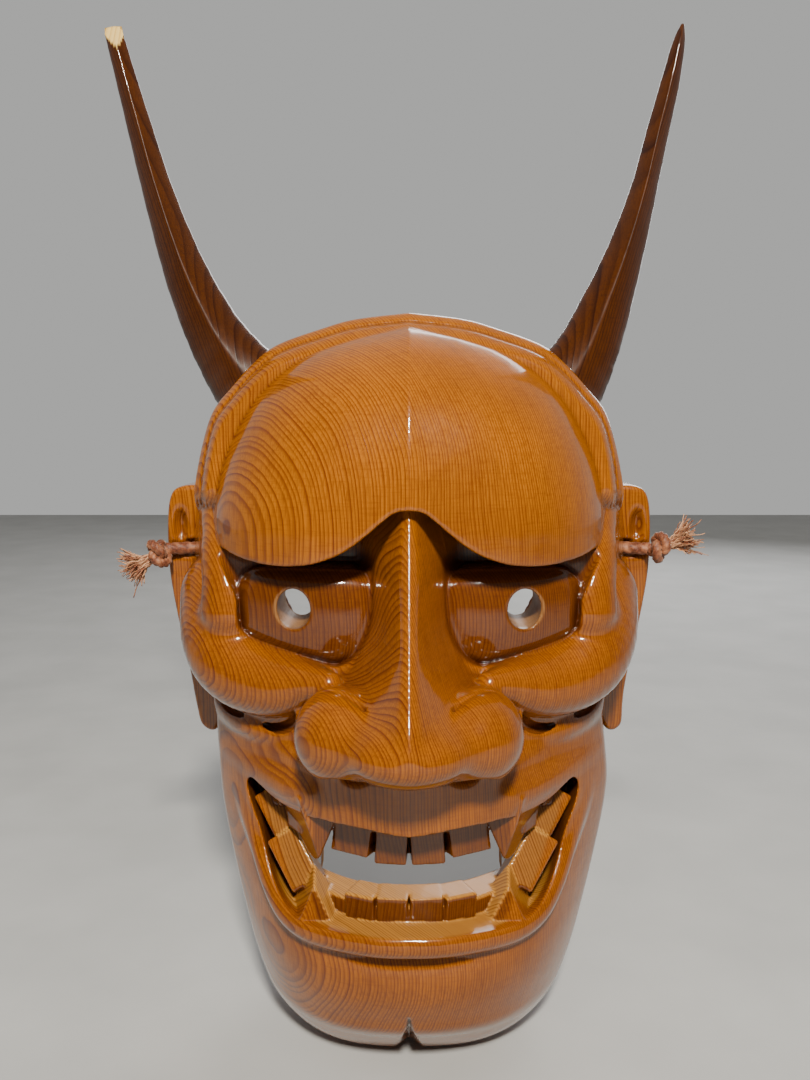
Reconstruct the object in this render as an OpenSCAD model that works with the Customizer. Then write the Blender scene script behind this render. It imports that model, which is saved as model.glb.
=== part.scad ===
// Carved wooden demon mask with two plug-in horns and a knotted tie cord.
// Frame: millimetres. Face towards -Y, +Z up, back rim on the plane y = 0,
// origin on that plane, on the centre line, level with the cord holes.

/* [Head] */
// width of the rim that rests on the wall
rim_w = 12; // [9:0.5:15]
// extra wood inside the crown around each horn socket
boss_w = 16; // [14:1:20]
// radius of the sight hole in each eye
eye_r = 5.7; // [4:0.1:7]
// width of the raised band along the hairline
band_w = 6; // [3:0.5:8]
// distance of each sight hole from the centre line
eye_x = 34.5; // [32:0.5:37]
// height of the sight holes
eye_z = -14; // [-17:1:-11]
// how far the nose stands out from the rim plane
nose_y = 111; // [104:1:114]

/* [Ears] */
// thickness of each ear flap
ear_t = 14; // [10:1:16]
// radius of the hole that the cord runs through
cord_hole_r = 3.2; // [2.8:0.1:4]
// inward slant of the cord hole, in degrees
cord_slant = 17; // [12:1:22]

/* [Teeth] */
// width of one front tooth
tooth_w = 10.6; // [9:0.2:12]
// lower edge of the upper front teeth
upper_z = -88.5; // [-91:0.5:-86]
// upper edge of the lower front teeth
lower_z = -98.5; // [-101:0.5:-96]

/* [Horns] */
// height of each horn tip
horn_tip_z = 169; // [150:1:180]
// radius of the round tenon under each horn
tenon_r = 6; // [5:0.5:7]
// radial running clearance of the tenon in its socket
tenon_gap = 0.05; // [0.02:0.01:0.1]
// length of the tenon
tenon_l = 16; // [12:1:20]
// distance of the horn in front of the rim plane
horn_y = 15; // [13:0.5:17]

/* [Cord] */
// diameter of the twisted cord
cord_d = 4.4; // [3.5:0.1:5]
// radius of each knot
knot_r = 6; // [5:0.5:8]
// lowest point of the slack cord inside the mask
cord_low_z = -62; // [-75:1:-45]

/* [Hidden] */
wood = "#b8681d";
wood_dark = "#9d5518";
twine = "#4a1a14";
fray = "#b4664a";
na = 80;
nr = 27;
ni = 9;
zc = -40;

function limit(v, a, b) = max(a, min(b, v));
function ease(t) = t * t * (3 - 2 * t);
function ramp(a, b, v) = ease(limit((v - a) / (b - a), 0, 1));
function hump(v, c, w) = exp(-pow((v - c) / w, 2));
function blend(a, b, t) = a + (b - a) * t;

// right half of the head outline, crown to chin
edge_pts = [[0, 76], [17, 74], [28, 71], [42, 66], [50, 60], [57, 52.5], [63, 45], [66.5, 35],
    [69, 22], [74, 0], [78, -16], [76, -29], [71, -42], [66, -52], [65.5, -67], [64, -86],
    [61, -104], [57, -122], [52, -138], [45, -152], [35, -160], [20, -164], [0, -164]];
edge_tab = [for (p = edge_pts) [atan2(p[0], p[1] - zc), norm([p[0], p[1] - zc])]];
half_tab = [for (i = [len(edge_pts) - 1:-1:0]) [edge_pts[i][1], edge_pts[i][0]]];

function edge_r(a) = lookup(a, edge_tab);
function half_w(z) = max(1, lookup(z, half_tab));

// depth of the outline, of the middle line of the forehead and of the lower face
function edge_d(a) = lookup(a, [[0, 30], [45, 34], [62, 30], [80, 34], [105, 28], [140, 30],
    [155, 40], [168, 50], [180, 54]]);
function brow_d(z) = lookup(z, [[0, 79], [17, 79], [43, 76], [60, 62], [68, 50], [71, 42], [76, 32]]);
function low_d(z) = lookup(z, [[-164, 54], [-158, 64], [-148, 70], [-132, 74], [-124, 76],
    [-117, 76], [-111, 86], [-104, 86], [-98, 78], [-86, 78], [-78, 86], [-70, 86], [-62, 80],
    [-40, 72], [-14, 60], [17, 60]]);
function nose_d(z) = lookup(z, [[-66, 80], [-62, 92], [-57, 103], [-48, nose_y], [-40, nose_y],
    [-30, 104], [-18, 95], [0, 86], [12, 82], [20, 79]]);
function nose_w(z) = lookup(z, [[-66, 20], [-60, 28], [-50, 34], [-40, 32], [-32, 22], [-18, 13],
    [0, 11], [12, 12], [20, 14]]);
function brow_z(x) = lookup(x, [[0, 17], [6, 13], [12, 6], [20, 2], [34, 0], [48, 1], [57, 4], [66, 14]]);

function side(u, a, b) = pow(max(0, 1 - pow(min(1, u), a)), b);
// raised band along the hairline, with the domed forehead inside it
function upper_face(x, z, e) = max(e + 7, e + (brow_d(z) + 2 * hump(x, 26, 16) * ramp(60, 40, z) - e)
    * side(x / max(1, half_w(z) - band_w), 3.2, 0.8));
function cheek(x, z) = 10 * hump(x, 54 + (z + 24) * 0.5, 13) * hump(z, -26, 12)
    + 7 * hump(x, 42, 12) * hump(z, -56 - (x - 42) * 0.5, 7);
function eyeball(x, z) = 5 * side(abs(x - 33) / 21, 3, 1) * side(abs(z + 15) / 18, 3, 1)
    - 5 * hump(abs(x - 33), 22, 4) * hump(z, -15, 16);
function lower_face(x, z, e) = e + (low_d(z) - e)
    * side(x / half_w(z), blend(2.6, 2.1, ramp(-20, -60, z)), blend(0.7, 0.95, ramp(-20, -60, z)))
    + cheek(x, z) + eyeball(x, z) - 4 * hump(x, 0, 4) * ramp(-146, -158, z);
function nose(x, z, base) = x < nose_w(z) && z < 22 && z > -67
    ? base + max(0, nose_d(z) - base) * side(x / nose_w(z), 2.4, 1.1) : base;
function front_d(x, z, e) = blend(nose(x, z, lower_face(x, z, e)), upper_face(x, z, e),
    ramp(brow_z(x) - 4, brow_z(x) + 3, z));

function rim_k(a) = lookup(a, [[0, 0.99], [55, 0.97], [100, 0.98], [140, 0.98], [180, 0.95]]);
function wall_w(a) = rim_w + boss_w * hump(a, 30, 13);
function back_d(z) = lookup(z, [[-164, 38], [-140, 56], [-118, 62], [-104, 70], [-72, 71], [-56, 66],
    [-34, 52], [-18, 47], [0, 48], [18, 62], [42, 62], [58, 48], [76, 30]]);

// one ring round the head: g is the turn from the crown, clockwise from the front
function turn(i) = 360 * i / na;
function half_turn(g) = g > 180 ? 360 - g : g;
function sgn(g) = g > 180 ? -1 : 1;
function front_pt(g, s) = let (a = half_turn(g), r = s * edge_r(a), x = r * sin(a), z = zc + r * cos(a))
    [sgn(g) * x, -front_d(x, z, edge_d(a)), z];
function rim_pt(g, r) = let (a = half_turn(g)) [sgn(g) * r * sin(a), 0, zc + r * cos(a)];
function back_pt(g, s) = let (a = half_turn(g), q = edge_r(a) * rim_k(a) - wall_w(a), r = s * q,
    x = r * sin(a), z = zc + r * cos(a))
    [sgn(g) * x, -back_d(z) * side(s, 6, 0.6), z];

head_pts = concat(
    [[0, -front_d(0, zc, 30), zc]],
    [for (j = [1:nr]) for (i = [0:na - 1]) front_pt(turn(i), j / nr)],
    [for (i = [0:na - 1]) rim_pt(turn(i), edge_r(half_turn(turn(i))) * rim_k(half_turn(turn(i))))],
    [for (j = [ni:-1:1]) for (i = [0:na - 1]) back_pt(turn(i), j / ni)],
    [[0, -back_d(zc), zc]]);
rings = nr + 1 + ni;
last = 1 + rings * na;
function up(j, i) = 1 + j * na + (i % na);
head_faces = concat(
    [for (i = [0:na - 1]) [0, up(0, i), up(0, i + 1)]],
    [for (j = [0:rings - 2]) for (i = [0:na - 1]) [up(j, i), up(j + 1, i), up(j + 1, i + 1)]],
    [for (j = [0:rings - 2]) for (i = [0:na - 1]) [up(j, i), up(j + 1, i + 1), up(j, i + 1)]],
    [for (i = [0:na - 1]) [up(rings - 1, i), last, up(rings - 1, i + 1)]]);

module both() {
    children();
    mirror([1, 0, 0]) children();
}

module plate(y0, t) {
    translate([0, -y0, 0]) rotate([90, 0, 0]) linear_extrude(t) children();
}

// mouth opening between the lips
module mouth() {
    plate(20, 110) polygon([[-49, -71], [-38, -73.5], [-23, -75.5], [0, -77], [23, -75.5], [38, -73.5],
        [49, -71], [54, -72], [53, -84], [49, -94], [43, -101], [34, -105], [20, -107], [0, -107.5],
        [-20, -107], [-34, -105], [-43, -101], [-49, -94], [-53, -84], [-54, -72]]);
}

// depth of the row of teeth at a distance x from the centre line
function arch_y(x) = 80 - 0.0145 * x * x;

module tooth(x, z0, z1, w, t) {
    turn_z = atan(0.029 * x);
    translate([x, -arch_y(x), 0]) rotate([0, 0, turn_z])
        translate([-w / 2, 0, min(z0, z1)]) cube([w, t, abs(z1 - z0)]);
}

module fang(x, z0, z1, w) {
    translate([x, 6 - arch_y(x), z0]) mirror([0, 0, z1 < z0 ? 1 : 0])
        rotate([0, 0, 45]) cylinder(h=abs(z1 - z0), r1=w, r2=0.6, $fn=4);
}

module teeth() {
    both() {
        tooth(5.6, -68, upper_z, tooth_w, 12);
        tooth(16.6, -68, upper_z + 0.5, tooth_w, 12);
        fang(26.5, -70, -91, 7.5);
        tooth(35.5, -66, -81, 8, 12);
        tooth(44, -62, -78, 8, 12);
        tooth(5.6, -112, lower_z, tooth_w, 12);
        tooth(16.6, -112, lower_z - 0.3, tooth_w, 12);
        fang(27.5, -112, -95, 8);
        tooth(37, -112, -99, 10, 12);
        tooth(45.5, -108, -90, 10, 12);
        tooth(51.5, -100, -80, 7, 12);
    }
}

module ear() {
    difference() {
        plate(3, ear_t) polygon([[64, 23], [70, 25], [80, 22.5], [83.5, 14], [84, 0], [82.5, -20], [80, -42],
            [77, -60], [73, -66], [66, -66], [60, -50], [60, 0]]);
        plate(3 + ear_t - 4, 10) polygon([[72, 19], [78, 17], [80, 8], [79, 4], [72, 4]]);
    }
}

// frame of a horn base: origin on the socket mouth, +Z out along the tenon
module at_horn() {
    translate([53.7, -horn_y, 53.7]) rotate([0, 45, 0]) children();
}

module face_shell() {
    color(wood) difference() {
        // the block with its mouth cut through, then the ears and teeth left standing
        union() {
            difference() {
                polyhedron(points=head_pts, faces=head_faces, convexity=8);
                mouth();
            }
            both() ear();
            teeth();
        }
        both() {
            translate([eye_x, 0, eye_z]) rotate([90, 0, 0]) cylinder(h=130, r=eye_r, $fn=64);
            translate([90, -21.5, -2]) rotate([0, 0, -cord_slant]) rotate([0, -90, 0])
                cylinder(h=45, r=cord_hole_r, $fn=48);
            at_horn() translate([-13.7, -10.3, 0]) cube([27.4, 20.6, 12]);
            at_horn() translate([0, 0, -tenon_l - 1]) cylinder(h=tenon_l + 2, r=tenon_r + tenon_gap, $fn=64);
        }
    }
}

// horn centre line, half width and half thickness from base to tip; b is the lean of the section
left_path = [[0, 53.9, 53.9, 13, 9.6, 45], [1, 56.8, 57.2, 12.4, 9.4, 43], [2, 61.6, 64.2, 10.9, 8.8, 36],
    [3, 66.9, 73.2, 9.4, 8.2, 30], [4, 73.8, 88.5, 7.6, 7.2, 24], [5, 79.1, 103.7, 6.1, 6.2, 19],
    [6, 84, 120.2, 4.9, 5.2, 16], [7, 87.8, 135, 4.2, 4.3, 14], [8, 91.7, 150.3, 3.5, 3.5, 14],
    [9, 95, 163.5, 2.6, 2.6, 14], [10, 96.4, 169, 0.9, 0.9, 14]];
right_path = [[0, 53.9, 53.9, 13, 9.6, 45], [1, 56.6, 57.3, 12.3, 9.4, 43], [2, 60.6, 65.2, 10.6, 8.8, 34],
    [3, 64.5, 75, 9.2, 8.2, 27], [4, 70, 90.6, 7, 7.2, 20], [5, 74.5, 105.3, 5.4, 6.2, 16],
    [6, 78.3, 120.2, 4.2, 5.2, 13], [7, 81.5, 135, 3.7, 4.3, 12], [8, 85, 150.3, 3.1, 3.5, 12],
    [9, 87.6, 163.5, 2, 2.4, 12], [10, 88.6, 169, 0.6, 0.6, 12]];
hn = 24;
hs = 30;
function pick(path, t, k) = lookup(t, [for (p = path) [p[0], p[k]]]);
function lift(t) = 1 + (horn_tip_z - 169) / 115 * t / 10;
function horn_pt(path, t, g) = let (b = pick(path, t, 5), w = pick(path, t, 3) * cos(g),
    h = pick(path, t, 4) * sin(g))
    [pick(path, t, 1) + w * cos(b), h - horn_y, 53.9 + (pick(path, t, 2) - 53.9) * lift(t) - w * sin(b)];

module horn(path) {
    pts = [for (j = [0:hs]) for (i = [0:hn - 1]) horn_pt(path, 10 * j / hs, 360 * i / hn)];
    faces = concat([[for (i = [0:hn - 1]) i]],
        [for (j = [0:hs - 1]) for (i = [0:hn - 1])
            [j * hn + i, (j + 1) * hn + i, (j + 1) * hn + (i + 1) % hn]],
        [for (j = [0:hs - 1]) for (i = [0:hn - 1])
            [j * hn + i, (j + 1) * hn + (i + 1) % hn, j * hn + (i + 1) % hn]],
        [[for (i = [hn - 1:-1:0]) hs * hn + i]]);
    polyhedron(points=pts, faces=faces, convexity=4);
    at_horn() translate([0, 0, -tenon_l]) cylinder(h=tenon_l + 4, r=tenon_r, $fn=64);
}

module horn_left() {
    color(wood_dark) mirror([1, 0, 0]) horn(left_path);
}

module horn_right() {
    color(wood_dark) horn(right_path);
}

// slack cord behind the face, from knot to knot
cord_half = [[84, 20, -2], [77, 17.5, -2], [69, 15, -2], [62, 13, -2], [57, 11.5, -3], [52, 10, -9],
    [47, 9, -19], [41, 8.5, -31], [34, 8, -42], [25, 8, -52], [13, 8, -59.5]];
cord_pts = concat([for (p = cord_half) [-p[0], p[1], p[2]]], [[0, 8, cord_low_z]],
    [for (k = [len(cord_half) - 1:-1:0]) cord_half[k]]);
cn = 10;
function mid_pt(p, k) = let (n = len(p) - 1, a = p[max(0, k - 1)], b = p[k], c = p[min(n, k + 1)],
    d = p[min(n, k + 2)]) (9 * (b + c) - a - d) / 16;
function finer(p) = [for (k = [0:len(p) - 1]) each (k < len(p) - 1 ? [p[k], mid_pt(p, k)] : [p[k]])];
function swap(p) = [p[0], -p[1], p[2]];
route = finer([for (p = cord_pts) swap(p)]);
function unit(v) = v / norm(v);
function way(p, k) = unit(p[min(len(p) - 1, k + 1)] - p[max(0, k - 1)]);

module tube(p, r) {
    pts = [for (k = [0:len(p) - 1]) let (t = way(p, k), u = unit(cross([0, 1, 0], t)), v = cross(t, u))
        for (i = [0:cn - 1]) p[k] + r * (u * cos(360 * i / cn) + v * sin(360 * i / cn))];
    m = len(p);
    faces = concat([[for (i = [0:cn - 1]) i]],
        [for (j = [0:m - 2]) for (i = [0:cn - 1])
            [j * cn + i, (j + 1) * cn + (i + 1) % cn, j * cn + (i + 1) % cn]],
        [for (j = [0:m - 2]) for (i = [0:cn - 1])
            [j * cn + i, (j + 1) * cn + i, (j + 1) * cn + (i + 1) % cn]],
        [[for (i = [cn - 1:-1:0]) (m - 1) * cn + i]]);
    polyhedron(points=pts, faces=faces, convexity=6);
}

module cord() {
    color(twine) tube(route, cord_d / 2);
}

// overhand knot: two crossed turns of the cord round a core
module knot() {
    rotate([0, 70, 20]) rotate_extrude($fn=32) translate([knot_r - 2.4, 0]) circle(r=2.4, $fn=20);
    rotate([55, 0, 30]) rotate_extrude($fn=32) translate([knot_r - 2.4, 0]) circle(r=2.4, $fn=20);
    sphere(r=knot_r - 1.6, $fn=28);
}

module cord_knot_left() {
    color(twine) translate([-85, -22.5, -3]) knot();
}

module cord_knot_right() {
    color(twine) translate([85, -22.5, -1]) mirror([1, 0, 0]) knot();
}

// frayed end: a short stem that opens into a brush
module tuft() {
    cylinder(h=4, r=2.2, $fn=24);
    translate([0, 0, 3.5]) cylinder(h=9, r1=2.6, r2=5, $fn=24);
}

module cord_tuft_left() {
    color(fray) translate([-88, -23, -5]) rotate([0, -118, 0]) tuft();
}

module cord_tuft_right() {
    color(fray) translate([88, -23, 0]) rotate([0, 72, 0]) tuft();
}

face_shell();
horn_left();
horn_right();
cord();
cord_knot_left();
cord_knot_right();
cord_tuft_left();
cord_tuft_right();
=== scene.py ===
"""Carved, varnished wooden demon mask: sculpted face, plug-in horns, knotted tie cord.

Lengths are millimetres in the part's own frame: face towards -Y, +Z up, wall plane at y = 0.
They are turned into metres when a mesh is made. Lamps and the cord's exit are given in metres.
"""

import math

import bpy
import numpy as np
import openvdb as vdb
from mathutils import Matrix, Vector


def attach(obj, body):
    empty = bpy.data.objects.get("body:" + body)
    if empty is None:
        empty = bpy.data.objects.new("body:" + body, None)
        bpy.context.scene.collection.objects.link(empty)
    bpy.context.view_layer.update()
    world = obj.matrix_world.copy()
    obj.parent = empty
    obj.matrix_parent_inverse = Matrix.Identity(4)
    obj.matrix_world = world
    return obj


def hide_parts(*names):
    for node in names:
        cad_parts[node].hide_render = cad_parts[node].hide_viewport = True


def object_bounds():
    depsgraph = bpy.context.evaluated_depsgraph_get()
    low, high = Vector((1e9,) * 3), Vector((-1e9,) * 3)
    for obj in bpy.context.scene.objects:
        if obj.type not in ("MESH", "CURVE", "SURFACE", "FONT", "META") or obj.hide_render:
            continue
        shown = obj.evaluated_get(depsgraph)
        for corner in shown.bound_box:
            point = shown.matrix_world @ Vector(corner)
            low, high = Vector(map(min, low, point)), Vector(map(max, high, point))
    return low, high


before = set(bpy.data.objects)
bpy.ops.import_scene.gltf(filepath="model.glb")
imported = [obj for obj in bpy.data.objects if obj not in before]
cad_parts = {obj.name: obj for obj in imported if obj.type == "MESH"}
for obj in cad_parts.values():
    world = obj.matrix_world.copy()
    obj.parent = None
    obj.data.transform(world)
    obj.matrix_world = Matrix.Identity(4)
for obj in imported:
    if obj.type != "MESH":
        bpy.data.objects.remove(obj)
CAD_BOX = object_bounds()
MM = 0.001
VOXEL = 0.55  # grid step of the carving
rng = np.random.default_rng(7)


# ---------------------------------------------------------------- camera

CAMERA_TARGET = Vector((0.0, -12.0, 0.0)) * MM
CAMERA_DISTANCE = 350 * MM
CAMERA_PITCH = math.radians(8)
CAMERA_LENS = 33.33
CAMERA_SENSOR = 36
CAMERA_SHIFT_X = -0.0037


def add_camera():
    data = bpy.data.cameras.new("camera")
    data.sensor_fit = "VERTICAL"
    data.sensor_height = CAMERA_SENSOR
    data.lens = CAMERA_LENS
    data.shift_x = CAMERA_SHIFT_X
    data.clip_start = 0.01
    camera = bpy.data.objects.new("camera", data)
    bpy.context.scene.collection.objects.link(camera)
    back = Vector((0, -math.cos(CAMERA_PITCH), math.sin(CAMERA_PITCH)))
    camera.location = CAMERA_TARGET + CAMERA_DISTANCE * back
    camera.rotation_euler = (math.radians(90) - CAMERA_PITCH, 0, 0)
    bpy.context.scene.camera = camera


add_camera()


# ---------------------------------------------------------------- small helpers


def smooth_line(points, per=12):
    """Catmull-Rom line through the points, with per steps from one to the next."""
    p = np.array(points, float)
    q = np.vstack([2 * p[0] - p[1], p, 2 * p[-1] - p[-2]])
    t = np.linspace(0, 1, per, endpoint=False)[:, None]
    parts = []
    for a, b, c, d in zip(q[:-3], q[1:-2], q[2:-1], q[3:]):
        parts.append(0.5 * (2 * b + (c - a) * t + (2 * a - 5 * b + 4 * c - d) * t**2
                            + (3 * b - a - 3 * c + d) * t**3))
    return np.vstack(parts + [p[-1:]])


def profile(pairs):
    """A smooth function through (input, value) pairs with rising inputs."""
    line = smooth_line(pairs)
    return lambda v: np.interp(v, line[:, 0], line[:, 1])


def ramp(a, b, v):
    """0 at a, 1 at b, eased."""
    t = np.clip((v - a) / (b - a), 0, 1)
    return t * t * (3 - 2 * t)


def hump(v, centre, width):
    """A bell that is 1 at the centre."""
    return np.exp(-(((v - centre) / width) ** 2))


def smin(a, b, k):
    """The smaller of two fields, blended where they are within k of each other."""
    h = np.clip(0.5 + 0.5 * (a - b) / k, 0, 1)
    return a + (b - a) * h - k * h * (1 - h)


def smax(a, b, k):
    """The larger of two fields, blended in the same way."""
    return -smin(-a, -b, k)


def new_object(name, verts_mm, faces, smooth=True):
    """A mesh object from vertices in mm and faces given as a list or an (n, 3 or 4) array."""
    mesh = bpy.data.meshes.new(name)
    verts = np.asarray(verts_mm, np.float64) * MM
    if isinstance(faces, np.ndarray):
        count, corners = faces.shape
        mesh.vertices.add(len(verts))
        mesh.vertices.foreach_set("co", verts.ravel())
        mesh.loops.add(count * corners)
        mesh.loops.foreach_set("vertex_index", faces.astype(np.int32).ravel())
        mesh.polygons.add(count)
        mesh.polygons.foreach_set("loop_start", np.arange(count, dtype=np.int32) * corners)
        mesh.update(calc_edges=True)
        mesh.validate()
    else:
        mesh.from_pydata(verts.tolist(), [], faces)
    mesh.polygons.foreach_set("use_smooth", [smooth] * len(mesh.polygons))
    mesh.update()
    obj = bpy.data.objects.new(name, mesh)
    bpy.context.scene.collection.objects.link(obj)
    return obj


def loft(rings):
    """Vertices and faces of a skin over equal rings of points, closed at both ends."""
    rings = np.asarray(rings, float)
    rows, cols = rings.shape[:2]
    verts = rings.reshape(-1, 3)
    faces = []
    for j in range(rows - 1):
        for i in range(cols):
            k = (i + 1) % cols
            faces.append((j * cols + i, j * cols + k, (j + 1) * cols + k, (j + 1) * cols + i))
    faces.append(tuple(range(cols - 1, -1, -1)))
    faces.append(tuple((rows - 1) * cols + i for i in range(cols)))
    return verts, faces


def frames_along(path):
    """Tangents and two steady normals along a path."""
    tangent = np.gradient(path, axis=0)
    tangent /= np.linalg.norm(tangent, axis=1)[:, None]
    side = np.cross(tangent[0], [0.3, 0.9, 0.2])
    side /= np.linalg.norm(side)
    sides = []
    for t in tangent:
        side = side - t * np.dot(side, t)
        side /= np.linalg.norm(side)
        sides.append(side)
    sides = np.array(sides)
    return tangent, sides, np.cross(tangent, sides)


# ---------------------------------------------------------------- cord

CORD_D = 4.4
CORD_HALF = [(84, 20, -2), (77, 17.5, -2), (69, 15, -2), (62, 13, -2), (57, 11.5, -3), (52, 10, -9),
             (47, 9, -19), (41, 8.5, -31), (34, 8, -42), (25, 8, -52), (13, 8, -59.5)]
CORD_POINTS = ([(-x, -y, z) for x, y, z in CORD_HALF] + [(0, -8, -62)]
               + [(x, -y, z) for x, y, z in reversed(CORD_HALF)])
CORD_TWIST = 10.0
CORD_PLIES = 3


def twisted_tube(path, radius, twist, plies, cols=24, groove=0.2, taper=None):
    """A laid cord: a tube whose section has one lobe per ply and turns once per twist."""
    _, side, up = frames_along(path)
    run = np.concatenate([[0], np.cumsum(np.linalg.norm(np.diff(path, axis=0), axis=1))])
    angle = np.linspace(0, 2 * math.pi, cols, endpoint=False)
    rings = []
    for k, point in enumerate(path):
        turn = 2 * math.pi * run[k] / twist
        lobes = np.abs(np.sin(plies / 2 * (angle - turn)))
        r = radius * (1 - groove + groove * lobes**0.6)
        if taper is not None:
            r = r * taper[k]
        ring = point + r[:, None] * (np.cos(angle)[:, None] * side[k] + np.sin(angle)[:, None] * up[k])
        rings.append(ring)
    return loft(rings)


def add_cord():
    path = smooth_line(CORD_POINTS, 14)
    verts, faces = twisted_tube(path, CORD_D / 2, CORD_TWIST, CORD_PLIES)
    cord = new_object("tie_cord", verts, faces)
    length = float(np.linalg.norm(np.diff(path, axis=0), axis=1).sum()) * MM
    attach(cord, "mask")
    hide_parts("cord")
    return cord, path * MM, length


cord, cord_path, cord_length = add_cord()


# ---------------------------------------------------------------- carving block


class Block:
    """Half a block of wood (x >= 0) as signed distances on a grid; tools add to it or cut it."""

    def __init__(self, low, high, step):
        self.low = np.array(low, float)
        self.step = step
        counts = np.ceil((np.array(high) - self.low) / step).astype(int) + 1
        self.axes = [(self.low[k] + step * np.arange(counts[k])).astype(np.float32) for k in range(3)]
        self.d = np.full(counts, 40, np.float32)

    def view(self, low, high):
        """The part of the grid between two corners, with its x, y and z."""
        parts = []
        for k in range(3):
            a = max(0, int((low[k] - self.low[k]) / self.step))
            b = int((high[k] - self.low[k]) / self.step) + 2
            parts.append(slice(a, b))
        x, y, z = (axis[part] for axis, part in zip(self.axes, parts))
        return self.d[tuple(parts)], x[:, None, None], y[None, :, None], z[None, None, :]

    def add(self, shape, low, high, k):
        d, x, y, z = self.view(low, high)
        d[...] = smin(d, shape(x, y, z), k)

    def cut(self, shape, low, high, k):
        d, x, y, z = self.view(low, high)
        d[...] = smax(d, -shape(x, y, z), k)


def around(points, reach):
    """The box round the points, grown by reach."""
    p = np.array(points, float)[:, :3]
    return p.min(0) - reach, p.max(0) + reach


def chain(points):
    """Distance to a string of balls (x, y, z, radius) joined by cones."""

    def shape(x, y, z):
        best = None
        for a, b in zip(points[:-1], points[1:]):
            ax, ay, az, ar = a
            bx, by, bz, br = b
            length2 = (bx - ax) ** 2 + (by - ay) ** 2 + (bz - az) ** 2
            t = ((x - ax) * (bx - ax) + (y - ay) * (by - ay) + (z - az) * (bz - az)) / length2
            t = np.clip(t, 0, 1)
            d = np.sqrt((x - ax - t * (bx - ax)) ** 2 + (y - ay - t * (by - ay)) ** 2
                        + (z - az - t * (bz - az)) ** 2) - (ar + (br - ar) * t)
            best = d if best is None else np.minimum(best, d)
        return best

    return shape


def smooth_chain(points, k):
    """A chain along a smooth line, and the box it works in."""
    points = smooth_line(points, 4)
    low, high = around(points, max(p[3] for p in points) + k + 3)
    return chain([tuple(p) for p in points]), low, high


def add_chain(block, points, k):
    block.add(*smooth_chain(points, k), k)


def cut_chain(block, points, k):
    block.cut(*smooth_chain(points, k), k)


def ellipsoid(centre, radii):
    """Approximate distance to an ellipsoid."""
    cx, cy, cz = centre
    rx, ry, rz = radii

    def shape(x, y, z):
        a = np.sqrt(((x - cx) / rx) ** 2 + ((y - cy) / ry) ** 2 + ((z - cz) / rz) ** 2)
        b = np.sqrt(((x - cx) / rx**2) ** 2 + ((y - cy) / ry**2) ** 2 + ((z - cz) / rz**2) ** 2)
        return a * (a - 1) / np.maximum(b, 1e-3)

    return shape


def bar(centre, half, axes, rounding):
    """A box with the given half sizes along three axes, with slightly eased edges."""
    axes = [np.array(a, float) / np.linalg.norm(a) for a in axes]
    cx, cy, cz = centre

    def shape(x, y, z):
        q = [np.abs((x - cx) * a[0] + (y - cy) * a[1] + (z - cz) * a[2]) - h + rounding
             for a, h in zip(axes, half)]
        outside = np.sqrt(sum(np.maximum(v, 0) ** 2 for v in q))
        return outside + np.minimum(np.maximum(np.maximum(q[0], q[1]), q[2]), 0) - rounding

    return shape


def wedge(planes):
    """The space behind every plane, each plane given as (point, outward normal)."""

    def shape(x, y, z):
        best = None
        for point, normal in planes:
            n = np.array(normal, float) / np.linalg.norm(normal)
            d = (x - point[0]) * n[0] + (y - point[1]) * n[1] + (z - point[2]) * n[2]
            best = d if best is None else smax(best, d, 0.5)
        return best

    return shape


def outline_distance(points, x, z):
    """Signed distance (negative inside) to a closed outline of (x, z) points."""
    p = np.array(points, np.float32)
    best = np.full(np.broadcast_shapes(x.shape, z.shape), 1e9, np.float32)
    inside = np.zeros(best.shape, bool)
    for (ax, az), (bx, bz) in zip(p, np.roll(p, -1, axis=0)):
        ex, ez = bx - ax, bz - az
        t = np.clip(((x - ax) * ex + (z - az) * ez) / (ex * ex + ez * ez + 1e-9), 0, 1)
        best = np.minimum(best, (x - ax - t * ex) ** 2 + (z - az - t * ez) ** 2)
        crosses = (az > z) != (bz > z)
        inside ^= crosses & (x < ax + (z - az) / (bz - az + 1e-12) * ex)
    return np.where(inside, -1, 1) * np.sqrt(best)


def closed_line(points, per=6):
    """A smooth closed outline through the points."""
    p = list(points)
    ring = p[-2:] + p + p[:2]
    line = smooth_line(ring, per)
    return line[2 * per:(len(p) + 2) * per]


def plate(outline, y_front, y_back, k):
    """An outline in x and z, thickened from y_front (nearest the viewer) to y_back."""

    def shape(x, y, z):
        flat = outline_distance(outline, x, z)
        return smax(flat, smax(y_front - y, y - y_back, k), k)

    return shape


# ---------------------------------------------------------------- the face, right half in mm

HEAD_CENTRE_Z = -40
HEAD_EDGE = [(0, 76), (17, 74), (28, 71), (42, 66), (50, 60), (57, 52.5), (63, 45), (66.5, 35), (69, 22),
             (70, 8), (70, -10), (69, -30), (67, -45), (65.8, -55), (65.4, -67), (64, -86), (61, -104),
             (57, -122), (52, -138), (45, -151), (34, -159.5), (18, -163.3), (0, -164)]
DOME_CENTRE_Z = 10
DOME_EDGE = [(0, 71.3), (18, 68.2), (34, 62.3), (46, 52.8), (53.3, 43), (59.2, 30.5), (62.5, 17), (63, 6),
             (61, -8), (50, -28), (28, -44), (0, -50)]
BROW_EDGE = [(0, 17.3), (3.9, 16.6), (7.5, 14), (12.3, 9.8), (17.5, 5.8), (22.2, 3.3), (28, 1.3),
             (33.9, 0.4), (40, 0.1), (46.5, 0.5), (52, 1.2), (56.5, 2.2), (59.5, 3.2), (61.3, 8.5),
             (63, 16), (66, 24), (90, 40)]
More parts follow.
